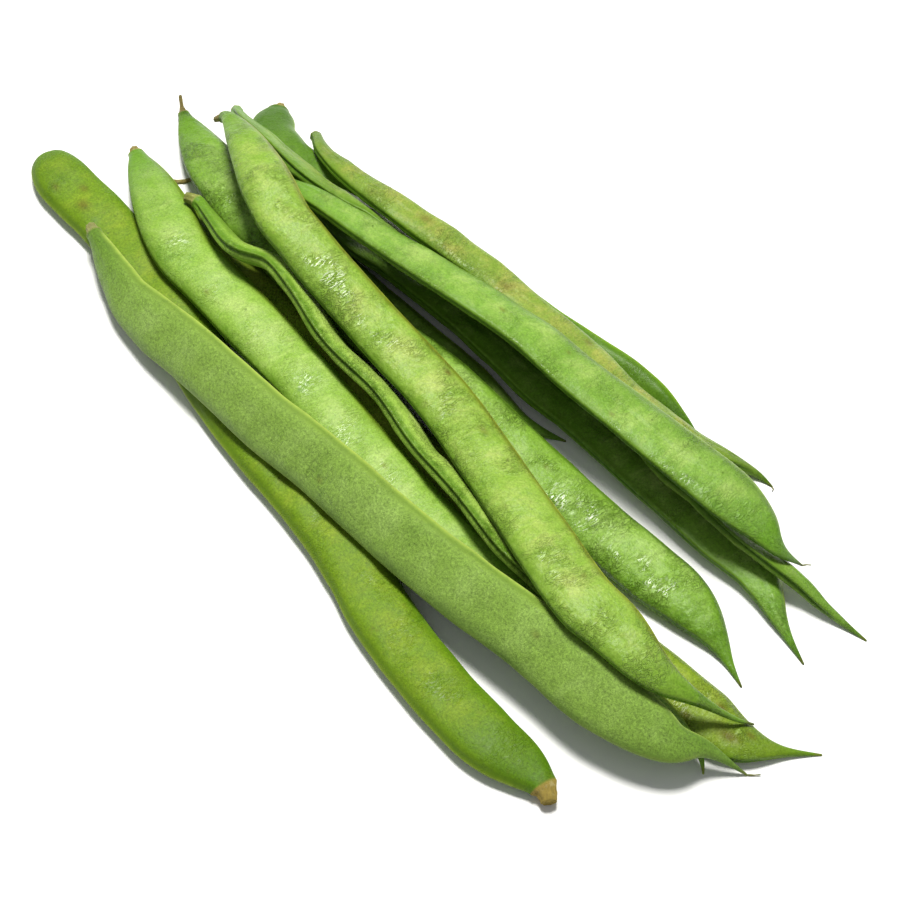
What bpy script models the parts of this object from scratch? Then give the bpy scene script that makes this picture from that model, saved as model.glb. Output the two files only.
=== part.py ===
"""Green bean bundle: thirteen flat bean pods lying loose in one pile on a flat floor.

Lengths in the constants are millimetres, the model is in metres with +Z up. The pods run along X.
Each pod is one closed loft along a curved centreline: a thin round pedicel, a collar, a broad flat body
that swells a little over every seed, and a pointed beak. The constants give each pod's plan and its lean;
its heights come from laying the pods down one after another, each resting on what is already there.
"""

import math
from collections import namedtuple

import bmesh
import bpy
import numpy as np
from mathutils import Vector
from mathutils.bvhtree import BVHTree

MM = 0.001  # one millimetre in metres
OBJECT_NAME = "green_bean_bundle"

RING_POINTS = 12  # around every section
STATION_STEP = 7.0  # between sections along the body
FEWEST_STATIONS = 8
END_CROWDING = 0.05  # how much closer the sections stand toward a body's ends
CURVE_STEPS = 16  # straight pieces between two points of a route
STEM_STATIONS = 3
BEAK_STATIONS = 4

COLLAR_SWELL = 0.9  # how much thicker the collar is than the pedicel
BEAK_ROOT_RADIUS = 1.5
BEAK_TIP_RADIUS = 0.3
COLLAR_LENGTH = 4.0
SEED_PITCH = 21.0
SEED_SWELL = 0.07  # share of the thickness
THICKNESS_LEAD = 0.55  # power that fills out the thickness sooner than the width

GAP = 0.35  # clear air between neighbouring pods
PRESS = 0.3  # how much a pod's underside flattens where it lies on the floor
SAG = 0.004  # bending under its own weight, per relaxation step
RELAX_SHARE = 0.5  # of the way to a fair curve, per relaxation step
SETTLE_PASSES = 4
RELAX_STEPS = 4000
SKY = 200.0  # height above everything, for plumb lines
DROP_HEIGHT = 50.0  # where a pod starts before it is laid down

Pod = namedtuple(
    "Pod",
    "name route lean width thickness stem_radius stem neck neck_form tail tail_form beak swell wave shade",
)

# route: plan points from the cut pedicel to the beak tip. lean: degrees that the edge on the left of that
# path is raised, at even steps along it. neck and tail: how far the body takes to reach full width from the
# collar and from the beak, with forms from 1 (pointed) to 2 (round). swell: how much wider the beak half is
# than the stem half. wave: sideways ripple of the body. Listed in the order in which they are laid down.
PODS = (
    Pod(
        name="pod_01_floor_outer",
        route=(
            (118, -48.5), (115, -47), (106, -48), (94, -51), (74, -52), (48.5, -51), (20, -46.5),
            (-33, -46), (-78.5, -40), (-110.5, -39), (-133.5, -40.5), (-147.5, -38),
        ),
        lean=(0, 0, 0, 0),
        width=18.5,
        thickness=7,
        stem_radius=2.1,
        stem=4,
        neck=24,
        neck_form=1.7,
        tail=17,
        tail_form=1.9,
        beak=0.5,
        swell=0,
        wave=0,
        shade=(0.23, 0.36, 0.05),
    ),
    Pod(
        name="pod_02_floor_inner",
        route=(
            (-110.5, -21.5), (-73.5, -19), (-40, -17), (-6.5, -15.5), (27.5, -13.5), (59.5, -13),
            (108, -4.5), (129.5, -1), (138.5, 4.5), (148, 16),
        ),
        lean=(0, 0, 0, 0),
        width=17.5,
        thickness=6.6,
        stem_radius=1.2,
        stem=3,
        neck=14,
        neck_form=1.8,
        tail=20,
        tail_form=1.6,
        beak=13,
        swell=0,
        wave=0,
        shade=(0.22, 0.34, 0.04),
    ),
    Pod(
        name="pod_03_floor_short",
        route=(
            (-115.5, -12.5), (-112.5, -9), (-112.5, -3.5), (-105.5, -0.5), (-56.5, 5), (-12.5, 10),
            (17, 15), (32.5, 24),
        ),
        lean=(0, 0, 0, 0),
        width=16.5,
        thickness=6.5,
        stem_radius=0.6,
        stem=12,
        neck=28,
        neck_form=1.4,
        tail=26,
        tail_form=1.3,
        beak=9,
        swell=0,
        wave=0,
        shade=(0.2, 0.33, 0.05),
    ),
    Pod(
        name="pod_04_floor_right",
        route=(
            (-113.5, 18.5), (-89, 17.5), (-58, 17), (-45, 20), (-14, 25), (17.5, 27.5), (35, 31),
            (87.5, 37), (101.5, 36.5), (114, 32.5), (125.5, 30),
        ),
        lean=(-30, -34, -34, -30, -18, -8, 0),
        width=16.5,
        thickness=6.2,
        stem_radius=1.2,
        stem=4,
        neck=28,
        neck_form=1.4,
        tail=30,
        tail_form=1.2,
        beak=12,
        swell=0.15,
        wave=0,
        shade=(0.2, 0.33, 0.05),
    ),
    Pod(
        name="pod_05_back_leaning",
        route=(
            (-120.5, 30.5), (-110.5, 21), (-101.5, 18), (-87, 18), (-42, 31.5), (-15.5, 37),
            (6.5, 42), (35.5, 50), (55, 55),
        ),
        lean=(0, 0, 5, 20, 38, 42),
        width=14.5,
        thickness=5.8,
        stem_radius=1.4,
        stem=3,
        neck=11,
        neck_form=1.9,
        tail=22,
        tail_form=1.5,
        beak=6,
        swell=0,
        wave=0,
        shade=(0.11, 0.21, 0.03),
    ),
    Pod(
        name="pod_06_shoulder",
        route=(
            (-132.5, -16), (-114.5, -21), (-85, -28.5), (-66.5, -28), (-22.5, -26), (3, -27),
            (51.5, -25.5), (98, -18.5), (121, -12), (131, -10), (134.5, -12),
        ),
        lean=(0, 0, 0, 0, 0),
        width=18.5,
        thickness=7,
        stem_radius=1.3,
        stem=3,
        neck=38,
        neck_form=1.5,
        tail=34,
        tail_form=1.35,
        beak=10,
        swell=0,
        wave=0,
        shade=(0.3, 0.45, 0.1),
    ),
    Pod(
        name="pod_07_glossy",
        route=(
            (-145, 8.5), (-133, 3.5), (-102.5, -3), (-80.5, -5), (-52.5, -4), (-23, 0),
            (-5.5, 3.5), (21, 6.5), (55, 11), (82.5, 14.5), (91, 16), (105, 16), (121, 12.5),
        ),
        lean=(0, 0, 0, 0, 0),
        width=18.5,
        thickness=7,
        stem_radius=0.55,
        stem=9,
        neck=34,
        neck_form=1.4,
        tail=24,
        tail_form=1.5,
        beak=12,
        swell=0.05,
        wave=0,
        shade=(0.27, 0.45, 0.1),
    ),
    Pod(
        name="pod_08_ridge",
        route=(
            (-127, 18), (-114.5, 14), (-82.5, 13), (-62.5, 17.5), (-54, 21), (-29.5, 26),
            (21.5, 35.5), (64.5, 34.5), (73, 36), (90, 37.5), (109, 43.5), (115.5, 44.5),
            (130, 48),
        ),
        lean=(-50, -50, -50, -55, -58, -50, -20),
        width=12,
        thickness=5.2,
        stem_radius=1.2,
        stem=4,
        neck=60,
        neck_form=1.3,
        tail=40,
        tail_form=1.2,
        beak=12,
        swell=0,
        wave=0,
        shade=(0.27, 0.42, 0.09),
    ),
    Pod(
        name="pod_09_back_top",
        route=(
            (-99, 29), (-83, 23.5), (-59, 24), (-18.5, 33.5), (0.5, 36), (18.5, 39.5),
            (38.5, 41.5), (54.5, 48), (72.5, 59), (78.5, 60.5),
        ),
        lean=(-20, -15, -12, -15, -30, -40),
        width=12.5,
        thickness=5.6,
        stem_radius=1.1,
        stem=3,
        neck=60,
        neck_form=1.3,
        tail=26,
        tail_form=1.3,
        beak=8,
        swell=0,
        wave=0,
        shade=(0.3, 0.42, 0.1),
    ),
    Pod(
        name="pod_10_wavy",
        route=(
            (-97.5, -18), (-94.5, -16), (-86, -17), (-70, -17.5), (-58.5, -13), (-45.5, -13.5),
            (-13.5, -14), (10.5, -13.5), (36.5, -16), (58.5, -16), (99.5, -16.5),
        ),
        lean=(-58, -58, -58, -58, -50),
        width=12.5,
        thickness=5.8,
        stem_radius=1.5,
        stem=4,
        neck=30,
        neck_form=1.2,
        tail=30,
        tail_form=1.3,
        beak=8,
        swell=0,
        wave=0.8,
        shade=(0.28, 0.45, 0.09),
    ),
    Pod(
        name="pod_11_front",
        route=(
            (-108.5, -45), (-84.5, -49.5), (-72, -50.5), (-43, -47.5), (-15.5, -44.5),
            (6.5, -40.5), (49, -35), (87.5, -27.5), (107, -24), (125.5, -17), (131, -10),
            (141, -3),
        ),
        lean=(40, 40, 40, 36, 30, 10),
        width=18.5,
        thickness=7,
        stem_radius=1.5,
        stem=3,
        neck=46,
        neck_form=1.35,
        tail=30,
        tail_form=1.5,
        beak=12,
        swell=0.12,
        wave=0,
        shade=(0.24, 0.38, 0.08),
    ),
    Pod(
        name="pod_12_right_top",
        route=(
            (-92.5, 5.5), (-76.5, 5.5), (-49.5, 11.5), (-24, 18.5), (9.5, 27), (26.5, 29.5),
            (58, 35.5), (89, 41), (100, 41.5), (104.5, 47.5),
        ),
        lean=(-25, -25, -20, -8, 0),
        width=16.5,
        thickness=7,
        stem_radius=1.2,
        stem=3,
        neck=60,
        neck_form=1.3,
        tail=20,
        tail_form=1.5,
        beak=8,
        swell=0.2,
        wave=0,
        shade=(0.28, 0.44, 0.1),
    ),
    Pod(
        name="pod_13_crown",
        route=(
            (-121, 7.5), (-111.5, 8), (-69.5, -4), (-54, -5), (-11.5, -2.5), (10, -2), (34, -5),
            (80, -13), (96, -12.5), (113.5, -10.5), (128.5, 0.5), (132.5, 6),
        ),
        lean=(0, 0, -4, -4, 0),
        width=17.5,
        thickness=7,
        stem_radius=0.9,
        stem=4,
        neck=46,
        neck_form=1.5,
        tail=34,
        tail_form=1.4,
        beak=16,
        swell=0.14,
        wave=0,
        shade=(0.28, 0.43, 0.09),
    ),
)


def smooth_path(points, step):
    """Points every so often along a Catmull-Rom curve through the given plan points."""
    p = np.array(points, float)
    ends = np.vstack([2 * p[0] - p[1], p, 2 * p[-1] - p[-2]])
    fine = []
    for i in range(1, len(ends) - 2):
        a, b, c, d = ends[i - 1 : i + 3]
        for t in np.linspace(0, 1, CURVE_STEPS, endpoint=False):
            fine.append(
                0.5 * (2 * b + (c - a) * t + (2 * a - 5 * b + 4 * c - d) * t**2 + (3 * b - a - 3 * c + d) * t**3)
            )
    fine.append(p[-1])
    fine = np.array(fine)
    along = np.concatenate([[0], np.cumsum(np.linalg.norm(np.diff(fine, axis=0), axis=1))])
    where = step(along[-1])
    return where, np.stack([np.interp(where, along, fine[:, k]) for k in (0, 1)], axis=1), along[-1]


def stations(pod, length):
    """Distances along a pod of its sections, close together where it narrows."""
    start = pod.stem
    stop = length - pod.beak
    count = max(FEWEST_STATIONS, round((stop - start) / STATION_STEP))
    even = np.linspace(0, 1, count + 1)
    body = start + (stop - start) * (even - END_CROWDING * np.sin(2 * math.pi * even))
    stem = np.linspace(0, start, STEM_STATIONS, endpoint=False)
    beak = np.linspace(stop, length, BEAK_STATIONS + 1)[1:]
    return np.concatenate([stem, body, beak])


def taper(x, form):
    """Rises from 0 to 1 while x does, pointed for form 1 and round for form 2."""
    x = np.clip(x, 0, 1)
    return (1 - (1 - x) ** form) ** (1 / form)


def half_sizes(pod, s, length):
    """Half width and half thickness of the sections at the distances s along a pod."""
    body = (s - pod.stem) / (length - pod.stem - pod.beak)
    fullness = taper((s - pod.stem) / pod.neck, pod.neck_form)
    fullness = fullness * taper((length - pod.beak - s) / pod.tail, pod.tail_form)
    collar = np.exp(-(((s - pod.stem) / COLLAR_LENGTH) ** 2))
    thin = pod.stem_radius + COLLAR_SWELL * collar
    point = np.clip((length - s) / max(pod.beak, 1), 0, 1)
    thin = np.where(body > 0.5, BEAK_TIP_RADIUS + (BEAK_ROOT_RADIUS - BEAK_TIP_RADIUS) * point, thin)
    seeds = 1 + SEED_SWELL * np.cos(2 * math.pi * (s - pod.stem) / SEED_PITCH)
    across = pod.width / 2 * (1 + pod.swell * (np.clip(body, 0, 1) - 0.5))
    deep = pod.thickness / 2 * seeds
    return thin + (across - thin) * fullness, thin + (deep - thin) * fullness**THICKNESS_LEAD


def sections(pod, s, plan, length, heights):
    """Ring of points round each section, square to the pod's centreline."""
    wide, deep = half_sizes(pod, s, length)
    lean = np.radians(np.interp(s / length, np.linspace(0, 1, len(pod.lean)), pod.lean))
    centre = np.column_stack([plan, heights])
    along = np.gradient(centre, axis=0)
    along /= np.linalg.norm(along, axis=1)[:, None]
    left = np.column_stack([-along[:, 1], along[:, 0], np.zeros(len(s))])
    left /= np.linalg.norm(left, axis=1)[:, None]
    up = np.cross(along, left)
    across = left * np.cos(lean)[:, None] + up * np.sin(lean)[:, None]
    through = up * np.cos(lean)[:, None] - left * np.sin(lean)[:, None]
    ripple = pod.wave * np.sin(2 * math.pi * s / (2 * SEED_PITCH)) * wide / (pod.width / 2)
    centre = centre + through * ripple[:, None]
    turn = 2 * math.pi * (np.arange(RING_POINTS) + 0.5) / RING_POINTS
    rings = centre[:, None, :] + across[:, None, :] * (wide[:, None] * np.cos(turn))[:, :, None]
    return rings + through[:, None, :] * (deep[:, None] * np.sin(turn))[:, :, None]


def skin(rings):
    """Faces of the closed loft over the rings, whose two end middles are the last two points."""
    count = len(rings)
    size = RING_POINTS
    faces = []
    for i in range(count - 1):
        for k in range(size):
            n = (k + 1) % size
            faces.append((i * size + k, i * size + n, (i + 1) * size + n, (i + 1) * size + k))
    first = count * size
    last = first + 1
    for k in range(size):
        n = (k + 1) % size
        faces.append((first, n, k))
        faces.append((last, (count - 1) * size + k, (count - 1) * size + n))
    return faces


def points_of(rings):
    ends = np.stack([rings[0].mean(axis=0), rings[-1].mean(axis=0)])
    return np.vstack([rings.reshape(-1, 3), ends])


def tree_of(points, faces):
    return BVHTree.FromPolygons([Vector(p) for p in points], faces)


def top_under(tree, point):
    """Height of the highest surface at a place in plan, the pressed floor where there is no pod."""
    hit = tree.ray_cast(Vector((point[0], point[1], SKY)), Vector((0, 0, -1))) if tree else (None,)
    return -PRESS if hit[0] is None else hit[0].z + GAP


def rod(s, need):
    """The straight line that a stiff rod with these distances along it would take on top of need."""
    hull = []
    for point in zip(s, need):
        while len(hull) > 1 and cross(hull[-2], hull[-1], point) >= 0:
            hull.pop()
        hull.append(point)
    middle = (s[0] + s[-1]) / 2
    for (x0, z0), (x1, z1) in zip(hull, hull[1:]):
        if x1 >= middle:
            return z0 + (z1 - z0) * (s - x0) / (x1 - x0)
    return need


def cross(a, b, c):
    return (b[0] - a[0]) * (c[1] - a[1]) - (b[1] - a[1]) * (c[0] - a[0])


def drape(s, need):
    """Heights of a slightly limp beam lying on top of need."""
    z = np.maximum(rod(s, need), need)
    for _ in range(RELAX_STEPS):
        pad = np.concatenate([[3 * z[0] - 2 * z[1], 2 * z[0] - z[1]], z, [2 * z[-1] - z[-2], 3 * z[-1] - 2 * z[-2]]])
        fair = (4 * (pad[1:-3] + pad[3:-1]) - pad[:-4] - pad[4:]) / 6
        z = np.maximum(need, z + RELAX_SHARE * (fair - z) - SAG)
    return z


def lay(pod, laid):
    """The pod's rings once it rests on the floor and on the pods already laid."""
    s, plan, length = smooth_path(pod.route, lambda total: stations(pod, total))
    tree = None
    if laid:
        offsets = np.cumsum([0] + [len(p) for p, _ in laid])
        joined = [tuple(int(i + o) for i in f) for (_, fs), o in zip(laid, offsets) for f in fs]
        tree = tree_of(np.vstack([p for p, _ in laid]), joined)
    heights = np.full(len(s), DROP_HEIGHT)
    for _ in range(SETTLE_PASSES):
        rings = sections(pod, s, plan, length, heights)
        between = (rings[1:] + rings[:-1]) / 2
        need = np.array([max(top_under(tree, p) - p[2] for p in ring) for ring in rings])
        mid = np.array([max(top_under(tree, p) - p[2] for p in ring) for ring in between])
        need[1:] = np.maximum(need[1:], mid)
        need[:-1] = np.maximum(need[:-1], mid)
        for points, _ in laid:
            press_up(points, rings, need)
        heights = drape(s, heights + need)
    return sections(pod, s, plan, length, heights)


def press_up(points, rings, need):
    """Raises need where corners of a pod below would come too near the underside of the rings."""
    faces = skin(rings)
    tree = tree_of(points_of(rings), faces)
    size = RING_POINTS
    low = rings.reshape(-1, 3).min(axis=0)
    high = rings.reshape(-1, 3).max(axis=0)
    for x, y, z in points:
        if not (low[0] < x < high[0] and low[1] < y < high[1]):
            continue
        hit = tree.ray_cast(Vector((x, y, -SKY)), Vector((0, 0, 1)))
        if hit[0] is not None:
            lack = z + GAP - hit[0].z
            last = len(need) - 1
            first = min(hit[2] // size, last)
            for i in (first, min(first + 1, last)):
                need[i] = max(need[i], lack)


def pile():
    """(pod, points, faces) of every pod, with the bunch's box centred on the origin and standing on z 0."""
    laid = []
    for pod in PODS:
        rings = lay(pod, laid)
        points = points_of(rings)
        points[:, 2] = np.where(points[:, 2] < 0, 0, points[:, 2])
        laid.append((points, skin(rings)))
    everything = np.vstack([p for p, _ in laid])
    middle = (everything.min(axis=0) + everything.max(axis=0)) / 2
    middle[2] = 0
    return [(pod, points - middle, faces) for pod, (points, faces) in zip(PODS, laid)]


def material(name, colour):
    made = bpy.data.materials.new(name)
    made.use_nodes = True
    shader = made.node_tree.nodes["Principled BSDF"]
    shader.inputs["Base Color"].default_value = (*colour, 1)
    shader.inputs["Roughness"].default_value = 0.45
    shader.inputs["Metallic"].default_value = 0
    made.diffuse_color = (*colour, 1)
    return made


def add_pod(pod, points, faces, collection):
    mesh = bpy.data.meshes.new(pod.name)
    mesh.from_pydata([tuple(p * MM) for p in points], [], faces)
    made = bmesh.new()
    made.from_mesh(mesh)
    bmesh.ops.recalc_face_normals(made, faces=made.faces)
    made.to_mesh(mesh)
    made.free()
    mesh.materials.append(material("skin_" + pod.name, pod.shade))
    collection.objects.link(bpy.data.objects.new(pod.name, mesh))


def build():
    for old in list(bpy.data.objects):
        bpy.data.objects.remove(old, do_unlink=True)
    collection = bpy.data.collections.new(OBJECT_NAME)
    bpy.context.scene.collection.children.link(collection)
    for pod, points, faces in pile():
        add_pod(pod, points, faces, collection)


build()
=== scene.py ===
"""Looks of the green bean bundle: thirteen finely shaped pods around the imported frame."""
import math
from collections import namedtuple

import bmesh
import bpy
import numpy as np
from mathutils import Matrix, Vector
from mathutils.bvhtree import BVHTree


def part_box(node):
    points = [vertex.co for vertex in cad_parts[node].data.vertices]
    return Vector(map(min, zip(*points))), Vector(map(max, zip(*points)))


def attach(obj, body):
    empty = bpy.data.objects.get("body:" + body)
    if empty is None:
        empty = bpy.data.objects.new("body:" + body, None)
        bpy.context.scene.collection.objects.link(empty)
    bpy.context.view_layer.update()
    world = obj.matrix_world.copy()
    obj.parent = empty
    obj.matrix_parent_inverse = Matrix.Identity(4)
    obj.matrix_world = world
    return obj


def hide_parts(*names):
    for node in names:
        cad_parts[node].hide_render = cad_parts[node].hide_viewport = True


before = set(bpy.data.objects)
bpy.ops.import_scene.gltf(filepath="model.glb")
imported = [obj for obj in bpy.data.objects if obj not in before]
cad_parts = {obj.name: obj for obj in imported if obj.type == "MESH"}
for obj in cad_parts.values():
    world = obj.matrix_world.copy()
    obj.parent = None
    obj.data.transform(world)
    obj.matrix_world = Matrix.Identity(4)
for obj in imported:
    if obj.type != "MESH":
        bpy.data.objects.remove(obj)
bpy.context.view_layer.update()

MM = 0.001  # one millimetre in metres; lengths below are mm unless they say otherwise
SKY = 0.3  # m, start of plumb lines, above everything

# the same rules as the CAD solids follow
SEED_PITCH = 21.0
SEED_SWELL = 0.07
COLLAR_SWELL = 0.9
COLLAR_LENGTH = 2.2
BEAK_ROOT_RADIUS = 1.5
BEAK_TIP_RADIUS = 0.3
THICKNESS_LEAD = 0.55
STATION_STEP = 7.0
FEWEST_STATIONS = 8
END_CROWDING = 0.05
STEM_STATIONS = 3
BEAK_STATIONS = 4
CURVE_STEPS = 16
CAD_RING = 12  # points round the CAD solid

FINE_STEP = 0.8  # mm between the rings of a finished pod
FINE_RING = 72  # points round a finished pod
END_STEP = 0.4  # mm in from a pod's ends, where plumb lines still meet the CAD solid
EASE_STEPS = 14
RIM_TRIM = 0.955  # share of the CAD half width, whose corners stand proud of its flats
FACE_TRIM = 0.93
FACE_FLATNESS = 3.4  # 2 gives an ellipse, more a flatter face
RIM_BLUNTNESS = 0.62  # 0.5 gives a round rim, more a sharper one

# relief of the skin
SEED_HEIGHT = 0.25
SEED_LENGTH = 5.6
SEED_BREADTH = 0.52  # share of the half width
WAIST_DEPTH = 0.13  # between seeds
LIP_SPREAD = 0.95  # from the middle of the suture to its lips
LIP_HEIGHT = 0.42
GROOVE_DEPTH = 0.5
RIDGE_HEIGHT = 0.2
FLANK_DEPTH = 0.14  # beside the ridge
RIM_WANDER = 0.22
SCAR_DEPTH = 0.12
STALK_RIBS = 7
LEAST_LEFT = 0.45  # share of a half size that relief may take away
THREAD_SIDES = 8
THREAD_RINGS = 16
UV_SCALE = 1 / 400  # of the UV map, per mm

# studio, in metres and degrees
CAMERA_AZIMUTH = 53.6
CAMERA_ELEVATION = 55.0
CAMERA_DISTANCE = 0.595
TARGET = (0.01544, -0.00378, 0.0)
LAMP_DIRECTION = (-0.26, 0.19, 0.94)
LAMP_DISTANCE = 1.6
LAMP_SIZE = 0.42
LAMP_POWER = 36.0
SURROUND = 0.28
FLOOR_HALF = 3.0

# colours as on a paint card; amounts from 0 to 1; uneven, dimples, pucker, pores and wrinkles in mm
Look = namedtuple(
    "Look",
    "flesh pale deep shade_edge sun_edge stalk mottle grain freckles blemish edge pores wrinkles"
    " rough gloss coat_rough down lips seed_pitch uneven dimples pucker slim draw line seam satin",
)
GLOSSY = Look(
    flesh=(134, 170, 66),
    pale=(170, 194, 108),
    deep=(84, 130, 30),
    # shade_edge is a deeper rim green with painted shade, sun_edge the rim green with painted light
    shade_edge=(72, 116, 8),
    sun_edge=(140, 166, 44),
    stalk=(160, 148, 84),
    mottle=0.85,
    grain=0.9,
    freckles=0.5,
    blemish=0.0,
    edge=0.9,
    pores=0.07,
    wrinkles=0.2,
    rough=0.36,
    gloss=0.5,
    coat_rough=0.25,
    down=0.0,
    lips=0.45,
    seed_pitch=16.0,
    uneven=0.14,
    dimples=0.1,
    pucker=0.1,
    slim=1.0,
    draw=4,
    line=0.4,
    seam=0.0,
    satin=0.28,
)
LOOKS = {
    "glossy": GLOSSY._replace(wrinkles=0.09, pucker=0.05, dimples=0.06, mottle=0.7),
    "bright": GLOSSY._replace(
        flesh=(122, 161, 56), pale=(156, 187, 98), deep=(82, 124, 22), sun_edge=(98, 142, 28), wrinkles=0.26,
        gloss=0.8,
    ),
    "crown": GLOSSY._replace(
        flesh=(132, 166, 62), pale=(166, 184, 94), deep=(88, 130, 28), sun_edge=(160, 164, 52), wrinkles=0.24,
        pucker=0.16, draw=1,
    ),
    "edgewise": GLOSSY._replace(
        flesh=(150, 184, 76), pale=(176, 198, 104), stalk=(150, 164, 80), lips=1.0, pucker=0.05, gloss=0.4,
        seam=-0.9,
    ),
    "right": GLOSSY._replace(
        flesh=(116, 156, 56), pale=(150, 178, 88), deep=(80, 126, 24), sun_edge=(124, 156, 52), lips=0.8,
        gloss=0.4, wrinkles=0.14, slim=0.68, seam=-0.2,
    ),
    "pale": GLOSSY._replace(
        flesh=(118, 150, 60), pale=(160, 172, 92), sun_edge=(140, 156, 60), lips=1.0, gloss=0.25,
        wrinkles=0.12,
        seam=-0.4,
    ),
    "yellowed": GLOSSY._replace(
        flesh=(118, 146, 52), pale=(162, 164, 80), deep=(84, 118, 18), lips=0.6, gloss=0.15, wrinkles=0.14,
        blemish=0.6, uneven=0.26,
    ),
    "under": GLOSSY._replace(flesh=(120, 160, 58), gloss=0.3, wrinkles=0.12, lips=1.0, slim=0.9, seam=-0.2),
    # a darker copy of the skin: painted shade for the pod leaning away at the back
    "dark": GLOSSY._replace(
        flesh=(84, 122, 26), pale=(104, 142, 40), deep=(60, 98, 12), sun_edge=(96, 140, 14), gloss=0.15,
        wrinkles=0.08,
    ),
    "matte": GLOSSY._replace(
        flesh=(118, 150, 58), pale=(142, 172, 86), deep=(84, 118, 32), shade_edge=(74, 108, 20), gloss=0.04,
        rough=0.62, down=0.2, grain=1.5, pores=0.1, wrinkles=0.05, pucker=0.04, sun_edge=(140, 170, 60),
        uneven=0.18, mottle=0.6, line=0.9, stalk=(150, 156, 88),
    ),
    "blunt": GLOSSY._replace(
        flesh=(102, 134, 20), pale=(130, 152, 38), deep=(72, 108, 10), sun_edge=(104, 132, 18), gloss=0.1,
        rough=0.52, blemish=0.5, grain=1.1, wrinkles=0.07, pucker=0.05, stalk=(166, 146, 70), uneven=0.2,
    ),
    "spotted": GLOSSY._replace(
        flesh=(124, 150, 42), pale=(152, 166, 60), deep=(84, 116, 20), blemish=0.95, freckles=0.9, gloss=0.3,
        wrinkles=0.18, uneven=0.26, draw=1,
    ),
}
# scars: mm along the pod, share across from -1 to 1, length and width in mm, darkness
SCARS = {
    "pod_13_crown": ((128, 0.62, 1.2, 0.8, 1.0), (150, 0.35, 2.2, 1.1, 0.55), (206, 0.3, 0.7, 0.5, 0.8)),
    "pod_12_right_top": ((96, -0.1, 0.9, 0.6, 0.7), (118, 0.3, 0.8, 0.6, 0.6), (140, -0.6, 1.0, 0.6, 0.6)),
    "pod_06_shoulder": ((70, -0.5, 1.0, 0.6, 0.6), (150, 0.1, 0.8, 0.5, 0.6)),
    "pod_07_glossy": ((150, -0.4, 1.0, 0.6, 0.7), (188, 0.2, 0.8, 0.6, 0.6)),
    "pod_11_front": ((120, -0.3, 1.0, 0.7, 0.5), (196, 0.2, 1.1, 0.8, 0.5)),
    "pod_09_back_top": ((60, 0.1, 2.4, 1.6, 0.6), (92, -0.3, 2.0, 1.4, 0.6), (121, 0.3, 1.6, 1.2, 0.6)),
    "pod_08_ridge": ((206, -0.2, 1.4, 0.9, 0.9),),
    "pod_01_floor_outer": ((238, 0.3, 2.4, 1.6, 0.7), (244, -0.2, 1.8, 1.2, 0.6), (250, 0.5, 1.4, 1.0, 0.5)),
    "pod_02_floor_inner": (
        (243, -0.2, 2.6, 1.5, 0.8), (237, 0.45, 1.8, 1.2, 0.9),
        (232, -0.5, 1.2, 1.0, 0.7), (248, 0.3, 1.4, 1.0, 0.7),
    ),
}
# a hair-thin dry thread past the beak: steps in mm from the beak's tip
THREADS = {
    "pod_11_front": ((1.1, 1.3, 0.1), (2.1, 2.8, 0.2)),
    "pod_12_right_top": ((0.6, 1.1, 0.1), (1.4, 2.0, 0.1)),
    "pod_09_back_top": ((0.9, -0.2, -0.2), (1.3, -1.0, -0.6)),
}
THREAD_RADIUS = 0.25

Pod = namedtuple(
    "Pod",
    "name route lean width thickness stem_radius stem neck neck_form tail tail_form beak swell wave look",
)

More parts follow.
